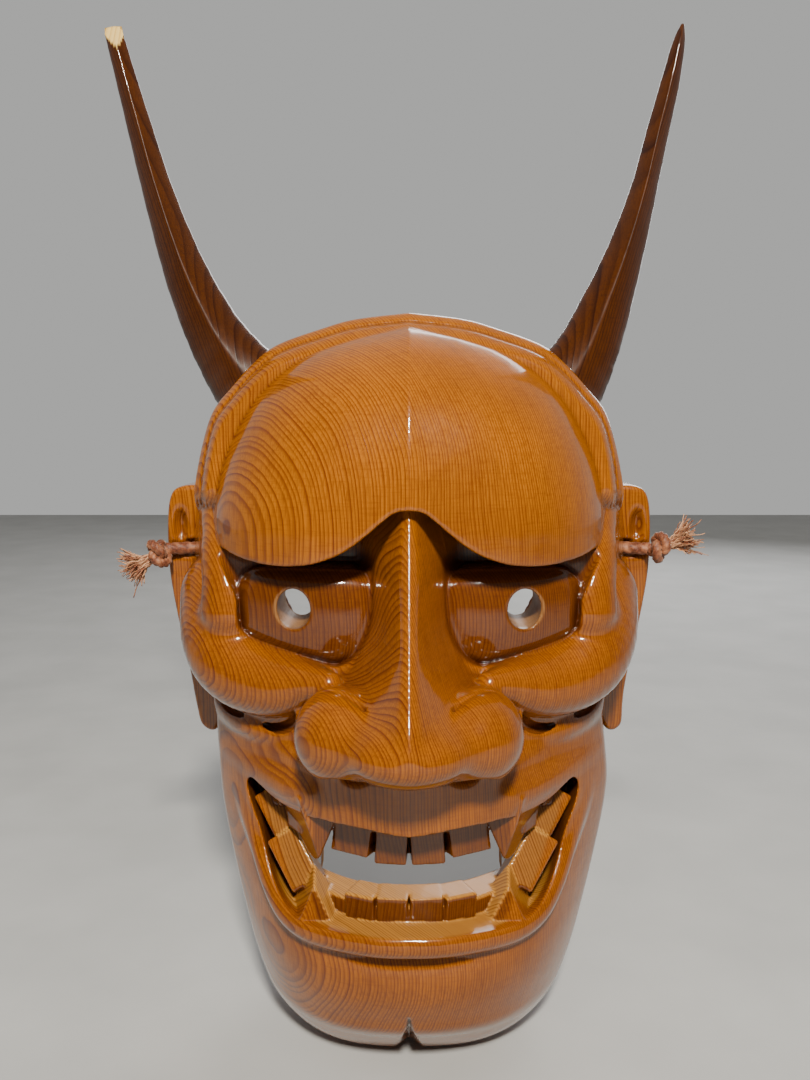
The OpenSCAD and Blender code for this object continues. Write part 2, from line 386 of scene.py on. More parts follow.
MID_DEPTH = [(-170, 48), (-164, 54), (-158, 60.5), (-152, 66.5), (-146.5, 72), (-141, 74.5), (-132, 78),
             (-124, 79), (-116, 77), (-108, 76), (-96, 74), (-84, 75), (-72, 76), (-60, 75), (-46, 71),
             (-30, 66), (-14, 62), (0, 60), (17, 60), (40, 54), (60, 42), (76, 26), (82, 20)]
EYE_SOCKET = [(8.5, 18), (9.6, 4), (10, -9), (10.3, -17), (12.2, -24.2), (15.9, -28.9), (20, -31),
              (24, -31.3), (32.7, -28.8), (42, -26.1), (51.3, -23.2), (53, -17.5), (53.4, -12),
              (56.5, -5), (60.5, 3), (57, 10), (40, 13), (22, 18)]
EYE_PANEL = [(10, -9), (10.3, -17), (12.2, -24.2), (15.9, -28.9), (20, -31), (24, -31.3), (32.7, -28.8),
             (42, -26.1), (51.3, -23.2), (52.8, -17.5), (53, -12), (51.5, -6.5), (47, -3.6), (38, -2.6),
             (26, -2.4), (16, -2.8), (11.5, -4.8)]
MOUTH_EDGE = [(0, -76.2), (6.6, -75.4), (14, -74.8), (24.7, -75.4), (31.2, -76), (37.4, -76.2), (42.5, -75),
              (47, -72.6), (50.2, -71.4), (52, -74), (50.8, -80), (47.6, -88), (44.2, -98.4),
              (41.4, -104), (37.6, -108), (32, -109.6), (21.8, -109), (9.4, -108.2), (0, -108)]
EAR = [(60, 18), (70, 19.5), (78, 19.3), (82, 16), (83.4, 6), (83.2, -10), (81, -26), (77.5, -44),
       (75.3, -58), (73, -66), (67.5, -66.4), (64, -50), (60, -20)]
EYE_HOLE = (34.8, -13.8)
EYE_HOLE_RADII = (5.2, 6.1)
CHIN_TOP = -146
RIM_TAPER = 0.975  # width of the side walls at the wall plane, as a share of the full width
ARCH_BEND = 0.0165


def arch(x, depth):
    """Depth of the lips and rows of teeth: they bend back towards the cheeks."""
    return depth - ARCH_BEND * x * x


def mouth_outline():
    """The mouth, taken a little past the middle line."""
    (_, top), (_, bottom) = MOUTH_EDGE[0], MOUTH_EDGE[-1]
    return list(smooth_line(MOUTH_EDGE, 5)) + [(-12, bottom), (-12, top)]


def polar_edge(edge, centre_z):
    """Radius of an outline as a function of the turn from straight up, in degrees."""
    line = smooth_line(edge, 10)
    angle = np.degrees(np.arctan2(line[:, 0], line[:, 1] - centre_z))
    radius = np.hypot(line[:, 0], line[:, 1] - centre_z)
    order = np.argsort(angle)
    return lambda a: np.interp(a, angle[order], radius[order]).astype(np.float32)


def slope_scale(height, step):
    """Turns a vertical gap over a height field into an approximate distance."""
    gx, gz = np.gradient(height, step)
    return 1 / np.sqrt(1 + np.minimum(gx**2 + gz**2, 16))


def carve_head(block):
    """Forehead, brows, hairline band and the plain lower face, with the eyes sunk in."""
    step = block.step
    x = block.axes[0][:, None]
    z = block.axes[2][None, :]
    y = block.axes[1][None, :, None]
    turn = np.degrees(np.arctan2(x, z - HEAD_CENTRE_Z))
    reach = np.hypot(x, z - HEAD_CENTRE_Z)
    edge = polar_edge(HEAD_EDGE, HEAD_CENTRE_Z)(turn)

    # lower face: rounded across, with the middle line's depth
    side = smooth_line(HEAD_EDGE, 10)[::-1]
    half = np.interp(z, side[:, 1], side[:, 0])
    mid = profile(MID_DEPTH)(z)
    edge_depth = profile([(-5, 26), (45, 28), (75, 30), (100, 30), (125, 31), (145, 33), (158, 42),
                          (170, 51), (181, 54)])(turn)
    across = np.clip(x / np.maximum(half, 1), 0, 1)
    low_part = ramp(-20, -60, z)
    fall = (1 - across ** (2.6 - 0.5 * low_part)) ** (0.7 + 0.2 * low_part)
    low = edge_depth + (mid - edge_depth) * fall
    low = np.where(reach > edge, edge_depth - 2.5 * (reach - edge), low)

    # chin: a cleft that opens downwards
    cleft_w = np.interp(z, [-164, -141], [5.0, 0.8])
    cleft = np.interp(z, [-164, -158, -147, -141, -139], [5.5, 5, 4, 1.6, 0])
    low = low - cleft * np.clip(1 - x / cleft_w, 0, 1) ** 1.3
    chin_top = CHIN_TOP - 0.14 * x
    bevel = 72.52 + 0.92 * (z - chin_top) - 0.004 * x**2
    low = np.where(z < chin_top, np.minimum(low, bevel), low)

    # forehead: a dome on each side of a sharp middle ridge
    dome_turn = np.degrees(np.arctan2(x, z - DOME_CENTRE_Z))
    dome_edge = polar_edge(DOME_EDGE, DOME_CENTRE_Z)(dome_turn)
    out = np.hypot(x, z - DOME_CENTRE_Z) / dome_edge
    sideways = np.sin(np.radians(dome_turn)) ** 2
    inside = np.clip(1 - np.clip(out, 0, 1) ** (3.3 - 0.1 * sideways), 0, 1) ** (0.76 - 0.06 * sideways)
    dome = 41 + 40 * inside - 3.2 + 3.2 * np.exp(-x / 14)
    dome = np.where(out > 1, 39 - 1.2 * (out - 1) * dome_edge, dome)
    brow_z = profile(BROW_EDGE)(x[:, 0])
    at_brow = np.array([np.interp(b, z[0], row) for b, row in zip(brow_z, dome)])

    # raised band along the hairline
    inset = edge - reach
    groove = hump(inset, 3.1, 0.55)
    band = 37 + 7.5 * ramp(0, 7.5, inset) - groove - 36 * ramp(21, -8, z) - 6 * ramp(0, -2, inset)

    block.d[...] = (-low[:, None, :] - y) * slope_scale(low, step)[:, None, :]
    add_muscles(block)
    sink_eyes(block)
    add_nose(block)
    over_dome = (-dome[:, None, :] - y) * slope_scale(dome, step)[:, None, :]
    under_brow = brow_z[:, None, None] + 0.4 * (y + at_brow[:, None, None]) - z[:, None, :]
    block.d[...] = smin(block.d, smax(over_dome, under_brow * 0.93, 1.4), 0.8)
    block.d[...] = smin(block.d, (-band[:, None, :] - y) * 0.8, 0.7)

    # side walls, a little narrower towards the wall plane, and the rim plane
    wall = edge[:, None, :] * (RIM_TAPER + (1 - RIM_TAPER) * ramp(0, -26, y))
    wall = wall - 0.1 * edge[:, None, :] * ramp(150, 178, turn)[:, None, :] * ramp(-50, 0, y)
    cheek_room = 13 * hump(z, -18, 24)[:, None, :] * ramp(-4, -22, y)
    block.d[...] = smax(block.d, (reach[:, None, :] - wall - cheek_room) * 0.95, 2.5)


def add_muscles(block):
    """Cheekbones, the folds below them and their creases, the upper lip and the lower lip."""
    add_chain(block, [(60, -26, -17, 17), (59, -36, -27, 16), (55.5, -44.5, -33.5, 14.3),
                      (48.5, -51, -37.5, 12.4), (39.5, -57.5, -38.6, 10.2), (31, -64, -36.6, 6.8),
                      (24, -69.5, -35.2, 4)], 1.2)
    add_chain(block, [(59, -34, 8, 8), (58.5, -41, 0, 8.2), (56.5, -46.5, -9, 9), (56, -47.5, -17, 10)], 3)
    add_chain(block, [(63, -22, -53, 6.5), (56, -37, -54.2, 6), (48, -48, -55.2, 5.2),
                      (42, -54.5, -55.4, 3.6)], 1.2)
    add_chain(block, [(62, -14, -64, 9), (56, -28, -66.5, 9), (49, -40, -67.5, 8.6), (42, -50, -68.4, 8),
                      (34.5, -59, -69.4, 7.5), (26, -66.5, -70, 8)], 1.2)
    cut_chain(block, [(76, -18, -37, 2), (69, -27.5, -44.6, 2.5), (61, -37, -49.6, 2.7),
                      (52.5, -45.5, -52.6, 2.6), (45, -52.5, -53.4, 2.4), (38, -59, -52, 2.1),
                      (33.4, -62.5, -48, 1.6)], 1.0)
    cut_chain(block, [(69, -18, -58.5, 1.8), (60, -31.5, -60.4, 2.1), (51, -42.5, -60.2, 2.1),
                      (43, -51.5, -60.8, 1.8), (36.5, -58, -62.6, 1.3)], 0.8)
    lip = lambda x, y, z: smax((-arch(x, 86) - y) * 0.85, smax(z + 58, x - 45, 3), 4)
    block.add(lip, (0, -95, -84), (50, -30, -50), 3)
    add_chain(block, [(-4, -80.5, -111, 4.9), (8, -80, -111.1, 4.9), (20, -75.5, -111.8, 4.9),
                      (30, -69, -112.4, 4.9), (37, -62.5, -110.6, 4.8), (42, -56, -105, 4.8),
                      (46, -50.5, -97, 4.6), (49.8, -45, -87.5, 4.4), (52.6, -40, -78, 4.2)], 2.2)


def sink_eyes(block):
    """Deep sockets under the brows, each with a bulging eye panel."""
    socket = closed_line(EYE_SOCKET)
    panel = closed_line(EYE_PANEL)
    low, high = (4, -100, -38), (66, -30, 26)
    block.cut(lambda x, y, z: smax(outline_distance(socket, x, z), y + 50, 2), low, high, 0.6)

    def eye(x, y, z):
        rim = outline_distance(panel, x, z)
        bulge = 66 - 0.0128 * (x - 23) ** 2 - 0.011 * (z + 15) ** 2
        roll = 2.2 * (1 - np.clip(-rim / 4, 0, 1)) ** 2
        return smax(-(bulge - roll) - y, rim - 0.9, 0.8)

    block.add(eye, low, high, 0.5)


def add_nose(block):
    """Long ridge that swells into a broad bulb with two wings."""
    top = profile([(-60, 96), (-52, 104), (-46, 109), (-40, 108.2), (-35, 105.5), (-28, 101), (-20, 96),
                   (-10, 90), (0, 84.5), (10, 80), (18, 77), (26, 74)])
    spread = profile([(-60, 2.2), (-48, 1.8), (-42, 1.45), (-34, 1.05), (-26, 0.85), (-18, 0.74), (-8, 0.78),
                      (0, 0.86), (6, 0.88), (12, 0.78), (17, 0.62), (26, 0.6)])

    def ridge(x, y, z):
        behind = y + top(z)
        width = 0.7 + spread(z) * np.maximum(behind, 0) ** 0.8
        steep = np.sqrt(1 + (0.8 * spread(z) * np.maximum(behind, 2) ** -0.2) ** 2)
        return smax(smax(-behind * 0.85, (x - width) / steep, 2.6), -50 - z, 3)

    block.add(ridge, (0, -116, -60), (34, -48, 26), 2.5)
    bulb = ellipsoid((0, -85.5, -47.3), (21, 23.5, 11.4))
    wing = ellipsoid((20.3, -81, -46.8), (12.9, 15.5, 13.7))
    both = lambda x, y, z: smin(bulb(x, y, z), wing(x, y, z), 7)
    block.add(both, (0, -116, -66), (40, -60, -28), 2.0)
    cut_chain(block, [(11.5, -91, -38, 0.5), (14, -88.5, -35.6, 0.8), (17.5, -86, -33.8, 1.0),
                      (21.5, -83, -33, 1.0), (26, -79.5, -34.6, 0.9), (30, -76, -38, 0.7)], 0.8)
    nostril = ellipsoid((18.2, -86.5, -58.6), (6.6, 8.5, 4.2))
    block.cut(nostril, (6, -100, -72), (32, -66, -50), 1.5)


def open_mouth(block):
    """The grin cut through from the front. Gums and teeth are set behind it later."""
    outline = mouth_outline()
    shape = lambda x, y, z: smax(outline_distance(outline, x, z), y + 20, 1)
    block.cut(shape, (0, -112, -118), (60, 4, -64), 0.4)


def add_gums(block):
    """Ledges behind the lips, with the teeth on them."""
    upper = lambda x, y, z: smax(smax((-arch(x, 75) - y) * 0.85, -80.5 - z, 1),
                                 smax(y + arch(x, 61.5), x - 44, 1), 1)
    block.add(upper, (0, -90, -92), (50, -30, -60), 0.8)
    wall = [(30, -113), (29.5, -99.5), (31.5, -92), (35, -83.5), (39, -76), (43, -68), (57, -64),
            (56, -90), (45, -113)]
    side_gum = lambda x, y, z: smax(smax((-(49 - 0.95 * (x - 36)) - y) * 0.75, y + 24, 1),
                                    outline_distance(wall, x, z), 0.8)
    block.add(side_gum, (26, -64, -118), (60, -18, -60), 0.8)
    add_upper_teeth(block)
    add_lower_teeth(block)


def tooth_block(x, y_front, z_root, z_tip, width, thick, lean, turn, slope):
    """A flat-faced tooth whose biting edge may slope."""
    c, s = math.cos(turn), math.sin(turn)
    centre = (x - s * thick / 2, y_front + c * thick / 2, (z_root + z_tip) / 2)
    across = (c, s, slope)
    through = (-s, c, lean)
    return bar(centre, (width / 2, thick / 2, abs(z_root - z_tip) / 2), (across, through, (0, 0, 1)), 0.3)


def add_upper_teeth(block):
    for x, y, tip, width, turn, slope in ((5.2, -73.8, -90.3, 9.6, 0.12, 0.06),
                                          (17.4, -70.6, -88.4, 12.8, 0.5, 0.14)):
        tooth = tooth_block(x, y, -72, tip, width, 9, 0.0, turn, slope)
        block.add(tooth, (x - 12, y - 12, -96), (x + 12, y + 16, -64), 0.3)
    # fang: a three-sided spike
    fang = wedge([((27, -70, -80), (-0.35, -1, 0.02)), ((33, -66, -80), (1, -0.55, -0.34)),
                  ((23, -66, -80), (-1, 0.1, -0.45)), ((28, -57, -80), (0, 1, -0.3)),
                  ((28, -66, -70), (0, 0, 1)), ((29.5, -66, -92.6), (0, 0, -1))])
    block.add(fang, (18, -80, -98), (40, -50, -64), 0.3)
    for x, y, tip in ((37.5, -58, -85.5), (44, -49, -80.5)):
        tooth = tooth_block(x, y, -68, tip, 7, 9, 0.0, 0.95, -0.3)
        block.add(tooth, (x - 9, y - 9, -92), (x + 9, y + 14, -60), 0.3)


def add_lower_teeth(block):
    ledge = lambda x, y, z: smax(smax((-arch(x, 75) - y) * 0.85, z + 103.5, 1),
                                 smax(y + arch(x, 61), x - 30, 1), 1)
    block.add(ledge, (0, -84, -120), (40, -40, -98), 0.8)
    for x, y, tip, width, turn in ((5.0, -75, -100.2, 9.5, 0.1), (15.1, -72.6, -100.4, 9.7, 0.42)):
        tooth = tooth_block(x, y, -112, tip, width, 10, 0.12, turn, 0.0)
        block.add(tooth, (x - 10, y - 8, -118), (x + 10, y + 16, -94), 0.3)
    canine = wedge([((29, -72, -110), (0.1, -1, 0.28)), ((35.2, -66, -110), (1, -0.3, 0.5)),
                    ((22.5, -70, -110), (-1, -0.2, 0.62)), ((29, -58, -110), (0, 1, 0.2)),
                    ((29, -66, -95.5), (0, 0, 1)), ((29, -66, -110), (0, 0, -1))])
    block.add(canine, (16, -80, -118), (42, -48, -90), 0.3)
    for centre, half in (((35.8, -55, -97.2), (5.0, 4.8, 9.0)), ((42.2, -46.5, -84.4), (4.4, 4.6, 7.4))):
        along = (-0.5, -0.42, -0.76)
        through = np.cross(along, (0.86, -0.1, -0.5))
        molar = bar(centre, half, (np.cross(through, along), through, along), 0.4)
        block.add(molar, np.array(centre) - 14, np.array(centre) + 14, 0.4)


def add_ears(block):
    """Flat ears with a dimple and a slanted bore for the cord."""
    low, high = (56, -24, -72), (88, 2, 26)
    block.add(plate(closed_line(EAR), -17, -3, 2.0), low, high, 1.5)
    block.cut(ellipsoid((78.6, -20.5, 5.5), (2.9, 6.5, 7.5)), low, high, 1.2)
    block.cut(chain([(90, -21.6, -2, 3.2), (52, -9.9, -2, 3.2)]), (50, -30, -10), (92, 0, 8), 0.8)


HORN_Y = 15
TENON_R = 6.0
TENON_L = 16
SEAT = (53.7, -HORN_Y, 53.7)
SEAT_AXIS = (0.7071, 0, 0.7071)
SOCKET_GAP = 0.05
SOCKET_SPARE = 0.5


def cut_sockets(block):
    """A flat seat and a blind round socket for each horn."""
    axis = SEAT_AXIS
    across = (axis[2], 0, -axis[0])
    low, high = (30, -30, 30), (80, 2, 80)
    half = (13.7, 10.3, 6)
    centre = np.array(SEAT) + half[2] * np.array(axis)
    block.cut(bar(centre, half, (across, (0, 1, 0), axis), 0.2), low, high, 0.3)

    def socket(x, y, z):
        along = (x - SEAT[0]) * axis[0] + (z - SEAT[2]) * axis[2]
        off = np.sqrt(((x - SEAT[0]) * axis[2] - (z - SEAT[2]) * axis[0]) ** 2 + (y - SEAT[1]) ** 2)
        ends = np.maximum(-along - TENON_L - SOCKET_SPARE, along - 8)
        return np.maximum(off - TENON_R - SOCKET_GAP, ends)

    block.cut(socket, low, high, 0.2)


HOLLOW_DEPTH = [(-170, 30), (-164, 38), (-140, 54), (-118, 59), (-104, 62), (-76, 62), (-64, 54),
                (-52, 46), (-34, 45), (-18, 45), (0, 44), (16, 45), (26, 54), (42, 57), (58, 46),
                (76, 30), (82, 26)]
RIM_WIDTH = 12
HORN_ROOM = 16  # more rim behind the horn sockets


def hollow_depth(x, z):
    """How deep the hollow at the back is at a place. Gouge strokes run down it."""
    turn = np.degrees(np.arctan2(x, z - HEAD_CENTRE_Z))
    reach = np.hypot(x, z - HEAD_CENTRE_Z)
    edge = polar_edge(HEAD_EDGE, HEAD_CENTRE_Z)(turn)
    rim = edge * (RIM_TAPER - 0.03 * ramp(150, 178, turn)) - RIM_WIDTH - HORN_ROOM * hump(turn, 30, 13)
    share = np.clip(reach / rim, 0, 1)
    depth = profile(HOLLOW_DEPTH)(z) * (1 - share**5) ** 0.7
    # the wall is left thicker behind the creases below the cheeks
    depth = depth - 10 * ramp(36, 54, np.abs(x)) * hump(z, -52, 11)
    stroke = 0.45 * np.abs(np.sin(x / 3.1 + 0.5 * np.sin(z / 11) + 0.8 * np.sin(z / 29)))
    stroke = stroke * (0.6 + 0.4 * np.sin(z / 6.5 + 2 * np.sin(x / 7)))
    return depth - stroke * ramp(1.0, 0.9, share)


def hollow_distance(x, y, z):
    """The hollow at the back: negative inside it."""
    depth = hollow_depth(x, z)
    scale = slope_scale(depth[:, 0, :], x[1, 0, 0] - x[0, 0, 0])
    return (-depth - y) * scale[:, None, :]


def drill_eyes(block):
    """An upright oval hole through each eye."""

    def hole(x, y, z):
        off_x = (x - EYE_HOLE[0]) / EYE_HOLE_RADII[0]
        off_z = (z - EYE_HOLE[1]) / EYE_HOLE_RADII[1]
        return (np.sqrt(off_x**2 + off_z**2) - 1) * 5.5 + 0 * y

    block.cut(hole, (26, -80, -24), (44, -20, -4), 0.6)


def box_blur(field, width):
    """Running mean of the field along each axis."""
    for axis in range(3):
        total = np.cumsum(field, axis=axis, dtype=np.float32)
        total = np.moveaxis(total, axis, 0)
        mean = (total[width:] - total[:-width]) / width
        pad = width // 2
        full = np.concatenate([mean[:1]] * (pad + 1) + [mean] + [mean[-1:]] * (width - pad - 1))
        field = np.moveaxis(full, 0, axis)
    return field


def sample(field, points):
    """Trilinear values of a grid at points in grid units."""
    base = np.clip(np.floor(points).astype(int), 0, np.array(field.shape) - 2)
    frac = np.clip(points - base, 0, 1).astype(np.float32)
    value = np.zeros(len(points), np.float32)
    for corner in range(8):
        shift = np.array([corner & 1, corner >> 1 & 1, corner >> 2 & 1])
        weight = np.prod(np.where(shift, frac, 1 - frac), axis=1)
        index = base + shift
        value += weight * field[index[:, 0], index[:, 1], index[:, 2]]
    return value


def carve_face():
    """Carve half the face, mirror it, skin it and note what the material needs."""
    block = Block((0, -114, -168), (87, 2, 79.5), VOXEL)
    carve_head(block)
    add_ears(block)
    open_mouth(block)
    block.cut(hollow_distance, (0, -80, -165), (86, 4, 78), 2.0)
    add_gums(block)
    drill_eyes(block)
    cut_sockets(block)
    y = block.axes[1][None, :, None]
    block.d[...] = smax(block.d, y, 1.0)

    # mirror the half block and skin it
    whole = np.concatenate([block.d[:0:-1], block.d])
    start = block.low - [block.step * (block.d.shape[0] - 1), 0, 0]
    grid = vdb.FloatGrid(background=3.0)
    grid.copyFromArray(np.ascontiguousarray(np.clip(whole, -3, 3)))
    points, quads = grid.convertToQuads(isovalue=0.0)
    verts = points * block.step + start
    # the mask isn't quite even: its right jaw stands a little wider than its left
    wider = np.where(verts[:, 0] > 0, 0.06, -0.005) * ramp(-52, -82, verts[:, 2])
    uneven = verts.copy()
    uneven[:, 0] += wider * np.abs(verts[:, 0])
    face = new_object("carved_face", uneven, quads)

    # what the material needs at each vertex: first how sunken the spot is, which darkens hollows (partly
    # varnish pooled there, partly painted shade) and lightens worn edges
    soft = box_blur(np.clip(whole, -6, 6), max(3, int(round(5 / block.step))))
    store(face, "sunken", np.clip(-sample(soft, points) / 1.4, -1, 1))

    # painted shade for the eye sockets, the teeth and the sides of the mouth. cut_top: flat tops in the
    # mouth. raw: unvarnished wood
    normals = np.zeros(len(verts) * 3, np.float32)
    face.data.vertex_normals.foreach_get("vector", normals)
    facing_up = ramp(0.3, 0.6, normals[2::3])
    x, y, z = np.abs(verts[:, 0]), verts[:, 1], verts[:, 2]
    in_socket = ramp(0.5, -1.5, outline_distance(closed_line(EYE_SOCKET), x, z))
    in_socket = in_socket * ramp(-70, -66, y) * ramp(3.5, 0.5, z)
    from_mouth = outline_distance(mouth_outline(), x, z)
    in_mouth = ramp(1.2, -0.5, from_mouth) * ramp(-1.0, 1.5, y + arch(x, 85))
    store(face, "painted_shade", np.maximum(in_socket, in_mouth * (1 - facing_up)))
    store(face, "cut_top", in_mouth * facing_up)
    varnished_back = ramp(8, 3, from_mouth) * ramp(-30, -40, y)
    store(face, "raw", raw_wood(x, y, z) * (1 - varnished_back))
    return face


def raw_wood(x, y, z):
    """1 in the unvarnished hollow and a half in the eye holes."""
    nudge = 0.5
    depth = hollow_depth(x, z)
    slope_x = (hollow_depth(x + nudge, z) - depth) / nudge
    slope_z = (hollow_depth(x, z + nudge) - depth) / nudge
    gap = (-y - depth) / np.sqrt(1 + slope_x**2 + slope_z**2)
    in_hollow = ramp(1.7, 1.0, gap) * ramp(-0.4, -1.2, y) * ramp(1, 3, depth)
    from_eye = np.hypot(x - EYE_HOLE[0], z - EYE_HOLE[1])
    in_hole = ramp(6.6, 6.1, from_eye) * ramp(-66, -60, y)
    return np.maximum(in_hollow, 0.5 * in_hole)


def store(obj, name, values):
    """Keep one number for each vertex, for the material to read."""
    layer = obj.data.attributes.new(name, "FLOAT", "POINT")
    layer.data.foreach_set("value", np.asarray(values, np.float32))


face = carve_face()
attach(face, "mask")
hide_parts("face_shell")


# ---------------------------------------------------------------- horns

# x, z, half width, half thickness, lean in degrees; the first ring is the foot on the seat
LEFT_HORN = [(53.9, 53.9, 13, 9.6, 45), (56.8, 57.2, 12.4, 9.4, 43), (61.6, 64.2, 10.9, 8.8, 36),
             (66.9, 73.2, 9.4, 8.2, 30), (73.8, 88.5, 7.6, 7.2, 24), (79.1, 103.7, 6.1, 6.2, 19),
             (84, 120.2, 4.9, 5.2, 16), (87.8, 135, 4.2, 4.3, 14), (91.7, 150.3, 3.5, 3.5, 14),
             (95, 163.5, 3.0, 2.8, 14), (96.4, 169, 2.7, 2.4, 14)]
RIGHT_HORN = [(53.9, 53.9, 13, 9.6, 45), (56.6, 57.3, 12.3, 9.4, 43), (60.6, 65.2, 10.6, 8.8, 34),
              (64.5, 75, 9.2, 8.2, 27), (70, 90.6, 7, 7.2, 20), (74.5, 105.3, 5.4, 6.2, 16),
              (78.3, 120.2, 4.2, 5.2, 13), (81.5, 135, 3.7, 4.3, 12), (85, 150.3, 3.1, 3.5, 12),
              (87.6, 163.5, 2, 2.4, 12), (88.6, 169, 0.5, 0.5, 12)]
HORN_COLS = 64
RIDGE_AT = -0.12  # where the ridge stands across the horn, from -1 to 1
HORN_TOP = 169.1
CHIP_FROM = 161
TENON_RINGS = [(TENON_L, 5.2), (TENON_L - 0.8, TENON_R), (8, TENON_R), (0.9, TENON_R)]


def horn_section(angle, ridge_share):
    """A lens with one crisp ridge down its front, blended with a plain ellipse."""
    u = np.cos(angle)
    v = np.sin(angle)
    lean = np.where(u > RIDGE_AT, (u - RIDGE_AT) / (1 - RIDGE_AT), (RIDGE_AT - u) / (1 + RIDGE_AT))
    front = -(1 - lean) ** 0.82
    v = np.where(v < 0, v * (1 - ridge_share) + front * ridge_share, v)
    return u, v


def horn_rings(table):
    """Rings from the end of the tenon, over the foot, to the tip."""
    angle = np.linspace(0, 2 * math.pi, HORN_COLS, endpoint=False)
    rings = []
    foot_x, foot_z, _, _, lean = table[0]
    b = math.radians(lean)
    for along, radius in TENON_RINGS:
        x = foot_x - along * math.sin(b) + radius * np.cos(angle) * math.cos(b)
        z = foot_z - along * math.cos(b) - radius * np.cos(angle) * math.sin(b)
        rings.append(np.stack([x, radius * np.sin(angle) - HORN_Y, z], axis=1))
    rows = smooth_line(table, 9)
    for k, (cx, cz, w, h, lean) in enumerate(rows):
        t = k / (len(rows) - 1)
        b = math.radians(lean)
        u, v = horn_section(angle, 0.15 + 0.75 * min(1, t * 2.2))
        size = 0.93 if k == 0 else 1.0  # the foot's edge is eased
        wave = 1 + 0.008 * math.sin(k * 0.9) + 0.006 * math.sin(k * 2.3)
        ring = np.stack([cx + size * wave * w * u * math.cos(b), size * h * v - HORN_Y,
                         cz - size * wave * w * u * math.sin(b)], axis=1)
        rings.append(ring)
    return np.array(rings)


def add_horn(name, table, side, cut_tip):
    """One horn with its tenon. A chipped tip shows bare wood."""
    rings = horn_rings(table)
    if cut_tip:
        limit = -HORN_Y - 2.6 + 0.62 * (rings[:, :, 2] - CHIP_FROM - 0.5)
        fresh = (rings[:, :, 1] < limit) & (rings[:, :, 2] > CHIP_FROM)
        rings[:, :, 1] = np.where(fresh, limit, rings[:, :, 1])
    else:
        fresh = np.zeros(rings.shape[:2], bool)
    rings[:, :, 0] *= side
    rings[:, :, 2] = np.minimum(rings[:, :, 2], HORN_TOP)
    if side < 0:
        rings = rings[:, ::-1]
        fresh = fresh[:, ::-1]
    verts, faces = loft(rings)
    horn = new_object(name, verts, faces)
    store(horn, "sunken", np.zeros(len(verts)))
    store(horn, "painted_shade", np.zeros(len(verts)))
    store(horn, "fresh", fresh.reshape(-1).astype(float))
    tenon = np.zeros(rings.shape[:2])
    tenon[:len(TENON_RINGS)] = 1
    store(horn, "raw", tenon.reshape(-1))
    node = "horn_left" if side < 0 else "horn_right"
    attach(horn, node)
    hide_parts(node)
    return horn


horns = [add_horn("carved_horn_left", LEFT_HORN, -1, True),
         add_horn("carved_horn_right", RIGHT_HORN, 1, False)]


# ---------------------------------------------------------------- knots and frayed ends

KNOT_SCALE = 1.32
KNOT_TUBE = 1.75
TUFT_THREADS = 150


def add_knot(name, centre, tilt, node):
    """A thumb knot drawn up against the ear: the cord looped through itself."""
    t = np.linspace(0, 2 * math.pi, 150)
    ring = (2 + np.cos(3 * t)) * KNOT_SCALE
    local = np.stack([1.15 * KNOT_SCALE * np.sin(3 * t), ring * np.cos(2 * t), ring * np.sin(2 * t)], axis=1)
    c, s = math.cos(tilt), math.sin(tilt)
    path = np.stack([c * local[:, 0] - s * local[:, 2], local[:, 1],
                     s * local[:, 0] + c * local[:, 2]], axis=1) + np.array(centre)
    verts, faces = twisted_tube(path, KNOT_TUBE, 5.5, CORD_PLIES, cols=18, groove=0.3)
    knot = new_object(name, verts, faces)
    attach(knot, "mask")
    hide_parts(node)
    return knot


def add_tuft(name, start, direction, node):
    """The frayed end: loose crimped threads that fan out from the knot."""
    direction = np.array(direction, float) / np.linalg.norm(direction)
    side = np.cross(direction, [0, 0, 1.0])
    side /= np.linalg.norm(side)
    up = np.cross(side, direction)
    verts = []
    faces = []
    strand = []
    run = np.linspace(0, 1, 15)[:, None]
    taper = np.linspace(1, 0.55, len(run))
    for _ in range(TUFT_THREADS):
        spread = 0.62 * math.sqrt(rng.random())
        turn = rng.random() * 2 * math.pi
        out = side * math.cos(turn) + up * math.sin(turn)
        length = rng.uniform(6.5, 10.2)
        bow = rng.normal(0, 1.0, 3)
        crimp = rng.uniform(0.12, 0.35)
        phase = rng.random() * 6.3
        root = np.array(start) + out * 1.5 * rng.random()
        path = root + direction * length * run + out * length * spread * run**1.6 + bow * run**2 * 1.1
        path = path + crimp * np.sin(run * rng.uniform(14, 24) + phase) * up
        path = path + crimp * np.cos(run * rng.uniform(14, 24) + phase) * side
        tube, skin = twisted_tube(path, rng.uniform(0.2, 0.36), 3.0, 2, cols=6, taper=taper)
        base = len(verts)
        verts.extend(tube)
        faces.extend(tuple(i + base for i in corners) for corners in skin)
        strand.extend([rng.random()] * len(tube))
    tuft = new_object(name, np.array(verts), faces)
    store(tuft, "strand", np.array(strand))
    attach(tuft, "mask")
    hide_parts(node)
    return tuft


knots = [add_knot("knot_left", (-85, -22.5, -3), 0.45, "cord_knot_left"),
         add_knot("knot_right", (85, -22.5, -1), -0.3, "cord_knot_right")]
tufts = [add_tuft("tuft_left", (-87.3, -23, -4.6), (-0.88, -0.1, -0.42), "cord_tuft_left"),
         add_tuft("tuft_right", (87.3, -23, -0.2), (0.93, -0.1, 0.36), "cord_tuft_right")]


# ---------------------------------------------------------------- materials


